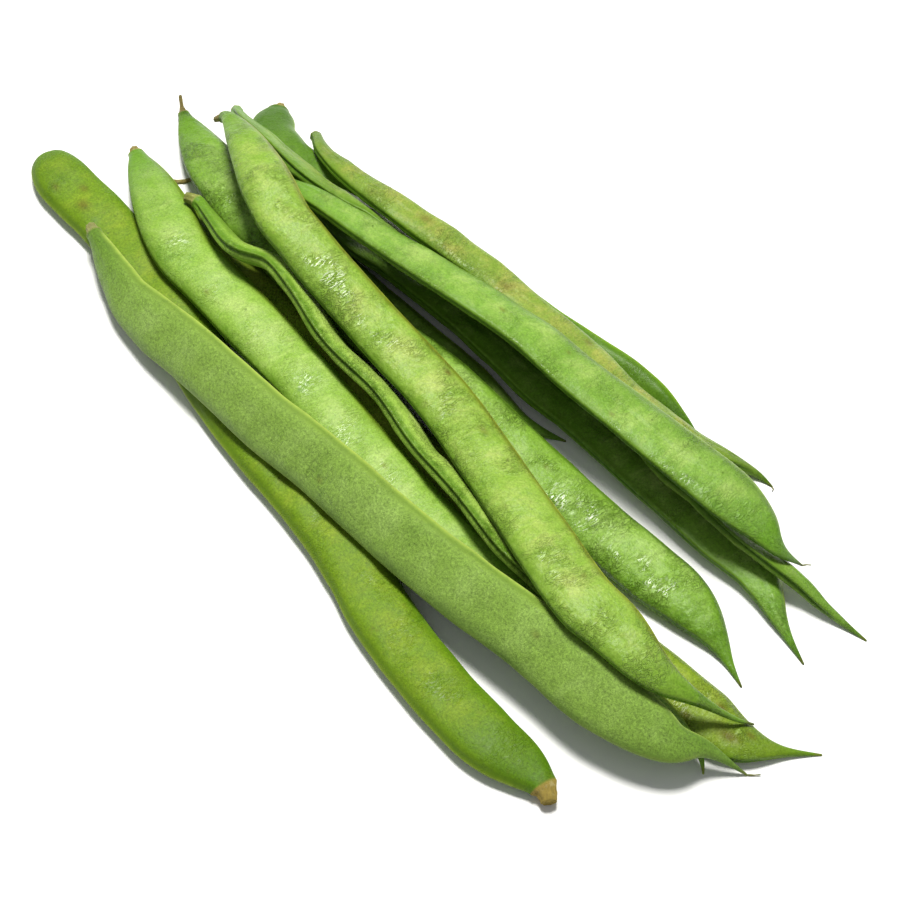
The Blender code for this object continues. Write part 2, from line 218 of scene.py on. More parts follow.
PODS = (
    Pod(
        name="pod_01_floor_outer",
        route=(
            (118, -48.5), (115, -47), (106, -48), (94, -51), (74, -52), (48.5, -51), (20, -46.5),
            (-33, -46), (-78.5, -40), (-110.5, -39), (-133.5, -40.5), (-147.5, -38),
        ),
        lean=(0, 0, 0, 0),
        width=18.5,
        thickness=7,
        stem_radius=2.1,
        stem=4,
        neck=24,
        neck_form=1.7,
        tail=17,
        tail_form=1.9,
        beak=0.5,
        swell=0,
        wave=0,
        look="blunt",
    ),
    Pod(
        name="pod_02_floor_inner",
        route=(
            (-110.5, -21.5), (-73.5, -19), (-40, -17), (-6.5, -15.5), (27.5, -13.5), (59.5, -13),
            (108, -4.5), (129.5, -1), (138.5, 4.5), (148, 16),
        ),
        lean=(0, 0, 0, 0),
        width=17.5,
        thickness=6.6,
        stem_radius=1.2,
        stem=3,
        neck=14,
        neck_form=1.8,
        tail=20,
        tail_form=1.6,
        beak=13,
        swell=0,
        wave=0,
        look="spotted",
    ),
    Pod(
        name="pod_03_floor_short",
        route=(
            (-115.5, -12.5), (-112.5, -9), (-112.5, -3.5), (-105.5, -0.5), (-56.5, 5), (-12.5, 10),
            (17, 15), (32.5, 24),
        ),
        lean=(0, 0, 0, 0),
        width=16.5,
        thickness=6.5,
        stem_radius=0.6,
        stem=12,
        neck=28,
        neck_form=1.4,
        tail=26,
        tail_form=1.3,
        beak=9,
        swell=0,
        wave=0,
        look="under",
    ),
    Pod(
        name="pod_04_floor_right",
        route=(
            (-113.5, 18.5), (-89, 17.5), (-58, 17), (-45, 20), (-14, 25), (17.5, 27.5), (35, 31),
            (87.5, 37), (101.5, 36.5), (114, 32.5), (125.5, 30),
        ),
        lean=(-30, -34, -34, -30, -18, -8, 0),
        width=16.5,
        thickness=6.2,
        stem_radius=1.2,
        stem=4,
        neck=28,
        neck_form=1.4,
        tail=30,
        tail_form=1.2,
        beak=12,
        swell=0.15,
        wave=0,
        look="under",
    ),
    Pod(
        name="pod_05_back_leaning",
        route=(
            (-120.5, 30.5), (-110.5, 21), (-101.5, 18), (-87, 18), (-42, 31.5), (-15.5, 37),
            (6.5, 42), (35.5, 50), (55, 55),
        ),
        lean=(0, 0, 5, 20, 38, 42),
        width=14.5,
        thickness=5.8,
        stem_radius=1.4,
        stem=3,
        neck=11,
        neck_form=1.9,
        tail=22,
        tail_form=1.5,
        beak=6,
        swell=0,
        wave=0,
        look="dark",
    ),
    Pod(
        name="pod_06_shoulder",
        route=(
            (-132.5, -16), (-114.5, -21), (-85, -28.5), (-66.5, -28), (-22.5, -26), (3, -27),
            (51.5, -25.5), (98, -18.5), (121, -12), (131, -10), (134.5, -12),
        ),
        lean=(0, 0, 0, 0, 0),
        width=18.5,
        thickness=7,
        stem_radius=1.3,
        stem=3,
        neck=38,
        neck_form=1.5,
        tail=34,
        tail_form=1.35,
        beak=10,
        swell=0,
        wave=0,
        look="glossy",
    ),
    Pod(
        name="pod_07_glossy",
        route=(
            (-145, 8.5), (-133, 3.5), (-102.5, -3), (-80.5, -5), (-52.5, -4), (-23, 0),
            (-5.5, 3.5), (21, 6.5), (55, 11), (82.5, 14.5), (91, 16), (105, 16), (121, 12.5),
        ),
        lean=(0, 0, 0, 0, 0),
        width=18.5,
        thickness=7,
        stem_radius=0.55,
        stem=9,
        neck=34,
        neck_form=1.4,
        tail=24,
        tail_form=1.5,
        beak=12,
        swell=0.05,
        wave=0,
        look="bright",
    ),
    Pod(
        name="pod_08_ridge",
        route=(
            (-127, 18), (-114.5, 14), (-82.5, 13), (-62.5, 17.5), (-54, 21), (-29.5, 26),
            (21.5, 35.5), (64.5, 34.5), (73, 36), (90, 37.5), (109, 43.5), (115.5, 44.5),
            (130, 48),
        ),
        lean=(-50, -50, -50, -55, -58, -50, -20),
        width=12,
        thickness=5.2,
        stem_radius=1.2,
        stem=4,
        neck=60,
        neck_form=1.3,
        tail=40,
        tail_form=1.2,
        beak=12,
        swell=0,
        wave=0,
        look="pale",
    ),
    Pod(
        name="pod_09_back_top",
        route=(
            (-99, 29), (-83, 23.5), (-59, 24), (-18.5, 33.5), (0.5, 36), (18.5, 39.5),
            (38.5, 41.5), (54.5, 48), (72.5, 59), (78.5, 60.5),
        ),
        lean=(-20, -15, -12, -15, -30, -40),
        width=12.5,
        thickness=5.6,
        stem_radius=1.1,
        stem=3,
        neck=60,
        neck_form=1.3,
        tail=26,
        tail_form=1.3,
        beak=8,
        swell=0,
        wave=0,
        look="yellowed",
    ),
    Pod(
        name="pod_10_wavy",
        route=(
            (-97.5, -18), (-94.5, -16), (-86, -17), (-70, -17.5), (-58.5, -13), (-45.5, -13.5),
            (-13.5, -14), (10.5, -13.5), (36.5, -16), (58.5, -16), (99.5, -16.5),
        ),
        lean=(-58, -58, -58, -58, -50),
        width=12.5,
        thickness=5.8,
        stem_radius=1.5,
        stem=4,
        neck=30,
        neck_form=1.2,
        tail=30,
        tail_form=1.3,
        beak=8,
        swell=0,
        wave=0.8,
        look="edgewise",
    ),
    Pod(
        name="pod_11_front",
        route=(
            (-108.5, -45), (-84.5, -49.5), (-72, -50.5), (-43, -47.5), (-15.5, -44.5),
            (6.5, -40.5), (49, -35), (87.5, -27.5), (107, -24), (125.5, -17), (131, -10),
            (141, -3),
        ),
        lean=(40, 40, 40, 36, 30, 10),
        width=18.5,
        thickness=7,
        stem_radius=1.5,
        stem=3,
        neck=46,
        neck_form=1.35,
        tail=30,
        tail_form=1.5,
        beak=12,
        swell=0.12,
        wave=0,
        look="matte",
    ),
    Pod(
        name="pod_12_right_top",
        route=(
            (-92.5, 5.5), (-76.5, 5.5), (-49.5, 11.5), (-24, 18.5), (9.5, 27), (26.5, 29.5),
            (58, 35.5), (89, 41), (100, 41.5), (104.5, 47.5),
        ),
        lean=(-25, -25, -20, -8, 0),
        width=16.5,
        thickness=7,
        stem_radius=1.2,
        stem=3,
        neck=60,
        neck_form=1.3,
        tail=20,
        tail_form=1.5,
        beak=8,
        swell=0.2,
        wave=0,
        look="right",
    ),
    Pod(
        name="pod_13_crown",
        route=(
            (-121, 7.5), (-111.5, 8), (-69.5, -4), (-54, -5), (-11.5, -2.5), (10, -2), (34, -5),
            (80, -13), (96, -12.5), (113.5, -10.5), (128.5, 0.5), (132.5, 6),
        ),
        lean=(0, 0, -4, -4, 0),
        width=17.5,
        thickness=7,
        stem_radius=0.9,
        stem=4,
        neck=46,
        neck_form=1.5,
        tail=34,
        tail_form=1.4,
        beak=16,
        swell=0.14,
        wave=0,
        look="crown",
    ),
)


# ---------------------------------------------------------------- the course of a pod


def smooth_path(points, where=None):
    """Points of a Catmull-Rom curve at the given distances along it, or its length if there are none."""
    p = np.array(points, float)
    ends = np.vstack([2 * p[0] - p[1], p, 2 * p[-1] - p[-2]])
    fine = []
    for i in range(1, len(ends) - 2):
        a, b, c, d = ends[i - 1 : i + 3]
        for t in np.linspace(0, 1, CURVE_STEPS, endpoint=False):
            bend, twist = 2 * a - 5 * b + 4 * c - d, 3 * b - a - 3 * c + d
            fine.append(0.5 * (2 * b + (c - a) * t + bend * t**2 + twist * t**3))
    fine.append(p[-1])
    fine = np.array(fine)
    along = np.concatenate([[0], np.cumsum(np.linalg.norm(np.diff(fine, axis=0), axis=1))])
    if where is None:
        return along[-1]
    return np.stack([np.interp(where, along, fine[:, k]) for k in (0, 1)], axis=1)


def stations(pod, length):
    """Distances along a pod of the CAD solid's sections."""
    start = pod.stem
    stop = length - pod.beak
    count = max(FEWEST_STATIONS, round((stop - start) / STATION_STEP))
    even = np.linspace(0, 1, count + 1)
    body = start + (stop - start) * (even - END_CROWDING * np.sin(2 * math.pi * even))
    stem = np.linspace(0, start, STEM_STATIONS, endpoint=False)
    beak = np.linspace(stop, length, BEAK_STATIONS + 1)[1:]
    return np.concatenate([stem, body, beak])


def taper(x, form):
    """Rises from 0 to 1 while x does, pointed for form 1 and round for form 2."""
    x = np.clip(x, 0, 1)
    return (1 - (1 - x) ** form) ** (1 / form)


def half_sizes(pod, s, length):
    """Half width, half thickness and fullness of the sections at the distances s along a pod."""
    body = (s - pod.stem) / (length - pod.stem - pod.beak)
    fullness = taper((s - pod.stem) / pod.neck, pod.neck_form)
    fullness = fullness * taper((length - pod.beak - s) / pod.tail, pod.tail_form)
    collar = np.exp(-(((s - pod.stem) / COLLAR_LENGTH) ** 2))
    thin = pod.stem_radius + COLLAR_SWELL * collar
    point = np.clip((length - s) / max(pod.beak, 1), 0, 1)
    thin = np.where(body > 0.5, BEAK_TIP_RADIUS + (BEAK_ROOT_RADIUS - BEAK_TIP_RADIUS) * point, thin)
    seeds = 1 + SEED_SWELL * np.cos(2 * math.pi * (s - pod.stem) / SEED_PITCH)
    across = pod.width / 2 * (1 + pod.swell * (np.clip(body, 0, 1) - 0.5))
    deep = pod.thickness / 2 * seeds
    return thin + (across - thin) * fullness, thin + (deep - thin) * fullness**THICKNESS_LEAD, fullness


def left_of(plan):
    """Unit vectors to the left of a path in plan."""
    along = np.gradient(plan, axis=0)
    along /= np.linalg.norm(along, axis=1)[:, None]
    return np.column_stack([-along[:, 1], along[:, 0]])


def lean_at(pod, s, length):
    return np.radians(np.interp(s / length, np.linspace(0, 1, len(pod.lean)), pod.lean))


def smooth_rise(s, coarse_s, heights):
    """Heights between the CAD sections, on a curve without kinks."""
    slope = np.gradient(heights, coarse_s)
    i = np.clip(np.searchsorted(coarse_s, s, side="right") - 1, 0, len(coarse_s) - 2)
    h = coarse_s[i + 1] - coarse_s[i]
    t = (s - coarse_s[i]) / h
    a = 2 * t**3 - 3 * t**2 + 1
    b = t**3 - 2 * t**2 + t
    c = -2 * t**3 + 3 * t**2
    d = t**3 - t**2
    return a * heights[i] + b * h * slope[i] + c * heights[i + 1] + d * h * slope[i + 1]


def cad_heights(pod, s, length, shift):
    """Height of the CAD solid's centreline at the distances s along the pod, by plumb lines."""
    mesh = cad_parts[pod.name].data
    corners = [v.co.copy() for v in mesh.vertices]
    tree = BVHTree.FromPolygons(corners, [tuple(f.vertices) for f in mesh.polygons])
    plan = smooth_path(pod.route, s) + shift
    left = left_of(plan)
    lean = lean_at(pod, s, length)
    rippled = ripple(pod, s, half_sizes(pod, s, length)[0])
    plan = plan - left * (np.sin(lean) * rippled)[:, None]
    found = []
    for x, y in plan * MM:
        top = tree.ray_cast(Vector((x, y, SKY)), Vector((0, 0, -1)))[0]
        low = tree.ray_cast(Vector((x, y, -SKY)), Vector((0, 0, 1)))[0]
        found.append(np.nan if top is None or low is None else (top.z + low.z) / 2 / MM)
    found = np.array(found) - np.cos(lean) * rippled
    good = ~np.isnan(found)
    return np.interp(s, s[good], found[good])


# ---------------------------------------------------------------- relief of the skin


def lattice_noise(points, seed):
    """Smooth noise between -1 and 1 at an (n, 3) array of points."""
    dice = np.random.default_rng(seed)
    table = dice.permutation(256)
    value = dice.uniform(-1, 1, 256)
    low = np.floor(points).astype(int)
    t = points - low
    t = t * t * (3 - 2 * t)
    total = np.zeros(len(points))
    for dx in (0, 1):
        for dy in (0, 1):
            for dz in (0, 1):
                corner = table[(low[:, 0] + dx) & 255]
                corner = table[(corner + low[:, 1] + dy) & 255]
                corner = table[(corner + low[:, 2] + dz) & 255]
                wx = t[:, 0] if dx else 1 - t[:, 0]
                wy = t[:, 1] if dy else 1 - t[:, 1]
                wz = t[:, 2] if dz else 1 - t[:, 2]
                total += value[corner] * wx * wy * wz
    return total


def bell(x, width):
    return np.exp(-((x / width) ** 2))


def step_up(x, low, high):
    t = np.clip((x - low) / (high - low), 0, 1)
    return t * t * (3 - 2 * t)


class Course:
    """A pod's centreline, section axes and half sizes at close distances along it, in mm."""

    def __init__(self, pod, look, shift):
        self.length = length = smooth_path(pod.route)
        coarse = np.unique(np.clip(stations(pod, length), END_STEP, length - END_STEP))
        heights = cad_heights(pod, coarse, length, shift)
        self.s = s = np.linspace(0, length, round(length / FINE_STEP))
        plan = ease(smooth_path(pod.route, s) + shift)
        z = ease(smooth_rise(s, coarse, heights)[:, None])[:, 0]
        centre = np.column_stack([plan, z])
        wide, deep, self.full = half_sizes(pod, s, length)
        slim = 1 + (look.slim - 1) * np.clip(self.full, 0, 1)
        self.wide = soft_ends(wide * RIM_TRIM, s, pod, length, look.draw)
        self.deep = soft_ends(deep * FACE_TRIM * slim, s, pod, length, look.draw)
        lean = ease(lean_at(pod, s, length)[:, None])[:, 0]
        along = np.gradient(centre, axis=0)
        along /= np.linalg.norm(along, axis=1)[:, None]
        left = np.column_stack([-along[:, 1], along[:, 0], np.zeros(len(s))])
        left /= np.linalg.norm(left, axis=1)[:, None]
        up = np.cross(along, left)
        self.across = left * np.cos(lean)[:, None] + up * np.sin(lean)[:, None]
        self.through = up * np.cos(lean)[:, None] - left * np.sin(lean)[:, None]
        self.centre = centre + self.through * ripple(pod, s, wide)[:, None]
        self.along = along


def soft_ends(size, s, pod, length, draw):
    """Half sizes with the corners at the collar and at the root of the beak drawn out."""
    eased = size[:, None]
    for _ in range(3):
        eased = ease(eased)
    collar = bell(s - pod.stem, 3.0)
    eased_more = eased
    for _ in range(draw):
        eased_more = ease(eased_more)
    beak = bell(s - length + pod.beak, 0.9 * pod.beak + 1)
    size = size + collar * (eased[:, 0] - size)
    return size + beak * (eased_more[:, 0] - size)


def ripple(pod, s, wide):
    """Sideways sway of a wavy pod's body."""
    return pod.wave * np.sin(2 * math.pi * s / (2 * SEED_PITCH)) * wide / (pod.width / 2)


def ease(rows):
    """Rows smoothed along their first axis, ends kept."""
    for _ in range(EASE_STEPS):
        inner = (rows[:-2] + 2 * rows[1:-1] + rows[2:]) / 4
        rows = np.vstack([rows[:1], inner, rows[-1:]])
    return rows


def seeds_in(pod, look, course, c, number):
    """A row of soft swellings under the skin, unevenly spaced and unevenly grown, from 0 to about 1."""
    dice = np.random.default_rng(500 + number)
    first, last = pod.stem + 12, course.length - pod.beak - 8
    places = np.arange(first, last, look.seed_pitch)
    places = places + dice.uniform(-2.5, 2.5, len(places))
    grown = dice.uniform(0.45, 1.1, len(places))
    offset = dice.uniform(-0.18, 0.18, len(places))
    seed = np.zeros((len(course.s), len(c[0])))
    for place, size, side in zip(places, grown, offset):
        bulge = bell(course.s[:, None] - place, SEED_LENGTH) * bell(c - side, SEED_BREADTH)
        seed = np.maximum(seed, size * bulge)
    return seed


def scars_on(pod, s, c, n, wide):
    """Sunken brown marks on the upper face."""
    scar = np.zeros((len(s), len(c[0])))
    for place, side, long, broad, dark in SCARS.get(pod.name, ()):
        reach = bell(s - place, long) * bell((c - side) * wide, broad) * (n > 0)
        scar = np.maximum(scar, dark * reach)
    return scar


def stalk_relief(pod, s, turn, stalk):
    """Fine ribs along the pedicel, a raised ring at the collar and a nick behind it."""
    ribs = np.cos(STALK_RIBS * turn)[None, :] * 0.07 * pod.stem_radius
    push = stalk * (ribs + 0.05 * np.sin(s * 5 + 2 * turn[None, :]))
    return push + 0.3 * bell(s - pod.stem - 0.2, 0.7) - 0.22 * bell(s - pod.stem + 1.2, 0.6)


def pod_relief(pod, look, course, turn, number):
    """Outward push of every point of the rings, and the masks that the materials read."""
    s = course.s[:, None]
    shape = (len(course.s), len(turn))
    c, n = np.cos(turn)[None, :], np.sin(turn)[None, :]
    wide, deep = course.wide[:, None], course.deep[:, None]
    mid = n * deep  # off the pod's middle plane
    off = mid - look.seam  # off the suture on the right edge
    body = np.clip(course.full[:, None], 0, 1)
    flesh = step_up(s, pod.stem - 0.5, pod.stem + 6)
    flesh = flesh * step_up(course.length - s, pod.beak * 0.5, pod.beak + 6)
    seed = seeds_in(pod, look, course, c, number) * body
    waist = (1 - seed) * bell(c, 0.7) * body

    # both sutures: two lips round a groove on the right edge, one fine ridge on the left edge
    right, left = c < 0, c > 0
    lips = right * bell(np.abs(off) - LIP_SPREAD, 0.42)
    groove = right * bell(off, 0.34)
    beside = right * bell(np.abs(off) - 2.3, 0.6)
    ridge = left * bell(mid, 0.45)
    flank = left * bell(np.abs(mid) - 1.25, 0.55)
    seam = LIP_HEIGHT * lips - GROOVE_DEPTH * groove - 0.16 * beside - 0.12 * right
    push = flesh * look.lips * seam + flesh * (RIDGE_HEIGHT * ridge - FLANK_DEPTH * flank)

    # rims wander a little, faces are softly uneven, and the skin puckers across the pod in places
    arc = np.stack([s + 0 * c, c * wide + 0 * s, mid + 0 * s], axis=2).reshape(-1, 3)
    rim = bell(1 - np.abs(c), 0.1) * flesh
    ways = np.column_stack([arc[:, 0] / 16, np.sign(arc[:, 1]) * 3.3, arc[:, 2] * 0])
    wander = lattice_noise(ways, 7 + number).reshape(shape)
    uneven = lattice_noise(arc / np.array([8.0, 5.0, 5.0]) + 31.7 * number, 11).reshape(shape)
    dimple = lattice_noise(arc / np.array([3.1, 2.6, 3.0]) + 17.1 * number, 12).reshape(shape)
    pucker = lattice_noise(arc / np.array([1.9, 6.5, 6.0]) + 5.9 * number, 13).reshape(shape)
    patch = lattice_noise(arc / np.array([15.0, 9.0, 9.0]) + 3.3 * number, 14).reshape(shape)
    patch = step_up(patch, -0.05, 0.45) * flesh
    push = push + RIM_WANDER * rim * wander + look.uneven * flesh * uneven
    push = push + (look.dimples * flesh * dimple + look.pucker * patch * pucker) * (1 - rim)
    push = push + body * (SEED_HEIGHT * seed - WAIST_DEPTH * waist)

    stalk = 1 - step_up(s, pod.stem - 0.6, pod.stem + 1.4)
    push = push + stalk_relief(pod, s, turn, stalk)
    push = np.maximum(push, -LEAST_LEFT * np.minimum(wide, deep))
    scar = scars_on(pod, s, c, n, wide)
    ends = bell(s - pod.stem, 26) + 0.7 * bell(course.length - pod.beak - s, 14)
    masks = {
        "seed": seed,
        # the rim mask and the side share below place painted light on the left rim and painted shade on the
        # right rim
        "rim": bell(1 - np.abs(c), 0.19) * flesh,
        "ends": np.clip(ends, 0, 1),
        "suture": flesh * np.clip(0.3 * lips + ridge, 0, 1),
        # where painted shade darkens the suture groove and the flank beside the ridge
        "crease": flesh * np.clip(look.lips * groove + 0.8 * flank, 0, 1),
        "painted_sun_side": 0.5 + 0.5 * c,
        "stalk": stalk,
        "tip": step_up(s, course.length - pod.beak * 1.1 - 1, course.length - 0.5),
        "pucker": patch,
        "scar": scar,
    }
    masks = {name: mask + np.zeros(shape) for name, mask in masks.items()}
    return push - SCAR_DEPTH * scar, masks


def loft(pod, look, course, number):
    """Points, faces, corner UVs and point masks of a finished pod."""
    turn = math.pi + 2 * math.pi * np.arange(FINE_RING) / FINE_RING
    c, n = np.cos(turn), np.sin(turn)
    push, masks = pod_relief(pod, look, course, turn, number)
    plump = np.clip(course.full, 0, 1)[:, None]
    flatness = 2 + (FACE_FLATNESS - 2) * plump
    bluntness = 0.5 + (RIM_BLUNTNESS - 0.5) * plump
    x = c * course.wide[:, None]
    y = np.sign(n) * (1 - np.abs(c) ** flatness).clip(0) ** bluntness * course.deep[:, None]
    out = np.stack([c / course.wide[:, None], n / course.deep[:, None]], axis=2)
    out /= np.linalg.norm(out, axis=2)[:, :, None]
    x, y = x + out[:, :, 0] * push, y + out[:, :, 1] * push
    rings = course.centre[:, None, :] + course.across[:, None, :] * x[:, :, None]
    rings = rings + course.through[:, None, :] * y[:, :, None]
    around = np.linalg.norm(np.diff(np.concatenate([rings, rings[:, :1]], axis=1), axis=1), axis=2)
    rings, masks, s = with_ends(rings, masks, course)
    points = np.vstack([rings.reshape(-1, 3), rings[:1].mean(axis=1), rings[-1:].mean(axis=1)])
    points[:, 2] = np.maximum(points[:, 2], 0)
    count, size = rings.shape[:2]
    i, k = np.meshgrid(np.arange(count - 1), np.arange(size), indexing="ij")
    m = (k + 1) % size
    near, far = i * size, (i + 1) * size
    quads = np.stack([near + k, near + m, far + m, far + k], axis=2).reshape(-1, 4)
    girth = np.median(around.sum(axis=1)) * UV_SCALE
    v0, v1 = k / size * girth, (k + 1) / size * girth
    u0, u1 = s[i] * UV_SCALE, s[i + 1] * UV_SCALE
    uv = np.stack([u0, v0, u0, v1, u1, v1, u1, v0], axis=2).reshape(-1, 2)
    first, last = count * size, count * size + 1
    k = np.arange(size)
    m = (k + 1) % size
    head = np.stack([np.full(size, first), m, k], axis=1)
    tail = np.stack([np.full(size, last), (count - 1) * size + k, (count - 1) * size + m], axis=1)
    caps = np.vstack([head, tail])
    cap_u = np.repeat([s[0], s[-1]], size * 3) * UV_SCALE
    cap_v = np.tile(np.column_stack([k + 0.5, k, k]).ravel() / size * girth, 2)
    uv = np.vstack([uv, np.column_stack([cap_u, cap_v])])
    flat = {}
    for name, mask in masks.items():
        flat[name] = np.concatenate([mask.ravel(), [mask[0].mean(), mask[-1].mean()]])
    return points * MM, quads, caps, uv, flat


def with_ends(rings, masks, course):
    """The rings with a slightly dished cut at the pedicel's end and a rounded tip added."""
    head, tail = rings[0], rings[-1]
    back, ahead = course.along[0], course.along[-1]
    size = np.linalg.norm(head - head.mean(axis=0), axis=1).mean()
    small = np.linalg.norm(tail - tail.mean(axis=0), axis=1).mean()
    before = [
        head.mean(axis=0) + (head - head.mean(axis=0)) * 0.35 + back * 0.1 * size,
        head.mean(axis=0) + (head - head.mean(axis=0)) * 0.72,
        head.mean(axis=0) + (head - head.mean(axis=0)) * 0.93 - back * 0.1 * size,
    ]
    after = [
        tail.mean(axis=0) + (tail - tail.mean(axis=0)) * 0.8 + ahead * 0.55 * small,
        tail.mean(axis=0) + (tail - tail.mean(axis=0)) * 0.4 + ahead * 0.9 * small,
    ]
    rings = np.concatenate([np.array(before), rings, np.array(after)])
    masks = {k: np.concatenate([m[:1], m[:1], m[:1], m, m[-1:], m[-1:]]) for k, m in masks.items()}
    s = np.concatenate([[course.s[0]] * 3, course.s, [course.s[-1]] * 2])
    return rings, masks, s


def pod_piece(pod, look, course, number):
    points, quads, caps, uv, masks = loft(pod, look, course, number)
    faces = [tuple(f) for f in quads.tolist()] + [tuple(f) for f in caps.tolist()]
    mesh = bpy.data.meshes.new(pod.name + "_skin")
    mesh.from_pydata(points.tolist(), [], faces)
    layer = mesh.uv_layers.new(name="along_and_around")
    layer.data.foreach_set("uv", uv.ravel().astype(np.float32))
    for name, values in masks.items():
        mesh.attributes.new(name, "FLOAT", "POINT").data.foreach_set("value", values.astype(np.float32))
    mesh.polygons.foreach_set("use_smooth", [True] * len(mesh.polygons))
    mesh.update()
    if enclosed(points, quads) < 0:
        mesh.flip_normals()
    piece = bpy.data.objects.new(pod.name + "_skin", mesh)
    bpy.context.scene.collection.objects.link(piece)
    return piece


def thread_piece(pod, course, skin):
    """The withered thread at a beak's tip, a thin closed tube that starts inside the beak."""
    tip = course.centre[-1]
    steps = [tip + np.array(step) for step in THREADS[pod.name]]
    path = np.array([tip - course.along[-1] * 2.5, tip] + steps)
    fine = np.linspace(0, len(path) - 1, THREAD_RINGS)
    path = np.column_stack([np.interp(fine, range(len(path)), path[:, k]) for k in range(3)])
    along = np.gradient(path, axis=0)
    along /= np.linalg.norm(along, axis=1)[:, None]
    side = np.cross(along, (0, 0, 1))
    side /= np.linalg.norm(side, axis=1)[:, None]
    up = np.cross(side, along)
    turn = 2 * math.pi * np.arange(THREAD_SIDES) / THREAD_SIDES
    radius = THREAD_RADIUS * np.linspace(1.2, 0.55, len(path)) * (1 + 0.15 * np.sin(5 * fine))
    rings = path[:, None, :] + radius[:, None, None] * (
        side[:, None, :] * np.cos(turn)[:, None] + up[:, None, :] * np.sin(turn)[:, None]
    )
    rings[:, :, 2] = np.maximum(rings[:, :, 2], 0)
    made = bmesh.new()
    rows = [[made.verts.new(p * MM) for p in ring] for ring in rings]
    for a, b in zip(rows, rows[1:]):
        for k in range(THREAD_SIDES):
            made.faces.new((a[k - 1], a[k], b[k], b[k - 1]))
    made.faces.new(rows[0])
    made.faces.new(rows[-1])
    bmesh.ops.recalc_face_normals(made, faces=made.faces)
    mesh = bpy.data.meshes.new(pod.name + "_thread")
    made.to_mesh(mesh)
    made.free()
    mesh.materials.append(skin)
    piece = bpy.data.objects.new(pod.name + "_thread", mesh)
    bpy.context.scene.collection.objects.link(piece)
    return piece


def enclosed(points, quads):
    """Signed volume of the loft, positive when its faces point outwards."""
    a, b, c, d = (points[quads[:, k]] for k in range(4))
    middle = points.mean(axis=0)
    a, b, c, d = a - middle, b - middle, c - middle, d - middle
    return (np.cross(a, b) * c).sum() + (np.cross(a, c) * d).sum()


# ---------------------------------------------------------------- skins


def paint(red, green, blue):
    """A colour given as on a paint card, 0 to 255, as the shader wants it."""
    channels = [v / 255 for v in (red, green, blue)]
    return tuple(v / 12.92 if v <= 0.04045 else ((v + 0.055) / 1.055) ** 2.4 for v in channels) + (1,)


class Nodes:
    """Shorthand for adding and wiring nodes in one tree."""

    def __init__(self, tree):
        self.tree = tree

    def add(self, kind, **settings):
        node = self.tree.nodes.new(kind)
        for name, value in settings.items():
            setattr(node, name, value)
        return node

    def put(self, socket, value):
        if isinstance(value, bpy.types.NodeSocket):
            self.tree.links.new(value, socket)
        else:
            socket.default_value = value

    def math(self, operation, *values, clamp=False):
        node = self.add("ShaderNodeMath", operation=operation, use_clamp=clamp)
        for socket, value in zip(node.inputs, values):
            self.put(socket, value)
        return node.outputs[0]

    def mix(self, share, first, second, blend="MIX"):
        node = self.add("ShaderNodeMix", data_type="RGBA", blend_type=blend)
        self.put(node.inputs["Factor"], share)
        self.put(node.inputs["A"], first)
        self.put(node.inputs["B"], second)
        return node.outputs["Result"]

    def noise(self, where, scale, detail=2.0, rough=0.5, warp=0.0):
        node = self.add("ShaderNodeTexNoise")
        self.put(node.inputs["Vector"], where)
        node.inputs["Scale"].default_value = scale
        node.inputs["Detail"].default_value = detail
        node.inputs["Roughness"].default_value = rough
        node.inputs["Distortion"].default_value = warp
        return node.outputs["Fac"]

    def span(self, value, low, high, out_low=0.0, out_high=1.0):
        node = self.add("ShaderNodeMapRange", interpolation_type="SMOOTHSTEP")
        for socket, item in zip(node.inputs, (value, low, high, out_low, out_high)):
            self.put(socket, item)
        return node.outputs[0]

    def mask(self, name):
        return self.add("ShaderNodeAttribute", attribute_name=name).outputs["Fac"]

    def stretch(self, where, scale, shift=(0, 0, 0)):
        node = self.add("ShaderNodeMapping")
        self.put(node.inputs["Vector"], where)
        self.put(node.inputs["Location"], shift)
        node.inputs["Scale"].default_value = scale
        return node.outputs["Vector"]


def new_group(name, takes, gives):
    """An empty shader group with its named sockets; returns it, its input sockets and its output node."""
    group = bpy.data.node_groups.new(name, "ShaderNodeTree")
    for label, kind, default in takes:
        socket = group.interface.new_socket(label, in_out="INPUT", socket_type=kind)
        socket.default_value = default
    for label, kind in gives:
        group.interface.new_socket(label, in_out="OUTPUT", socket_type=kind)
    entry = group.nodes.new("NodeGroupInput").outputs
    leave = group.nodes.new("NodeGroupOutput").inputs
    return group, entry, leave


FLOAT, COLOUR, VECTOR = "NodeSocketFloat", "NodeSocketColor", "NodeSocketVector"


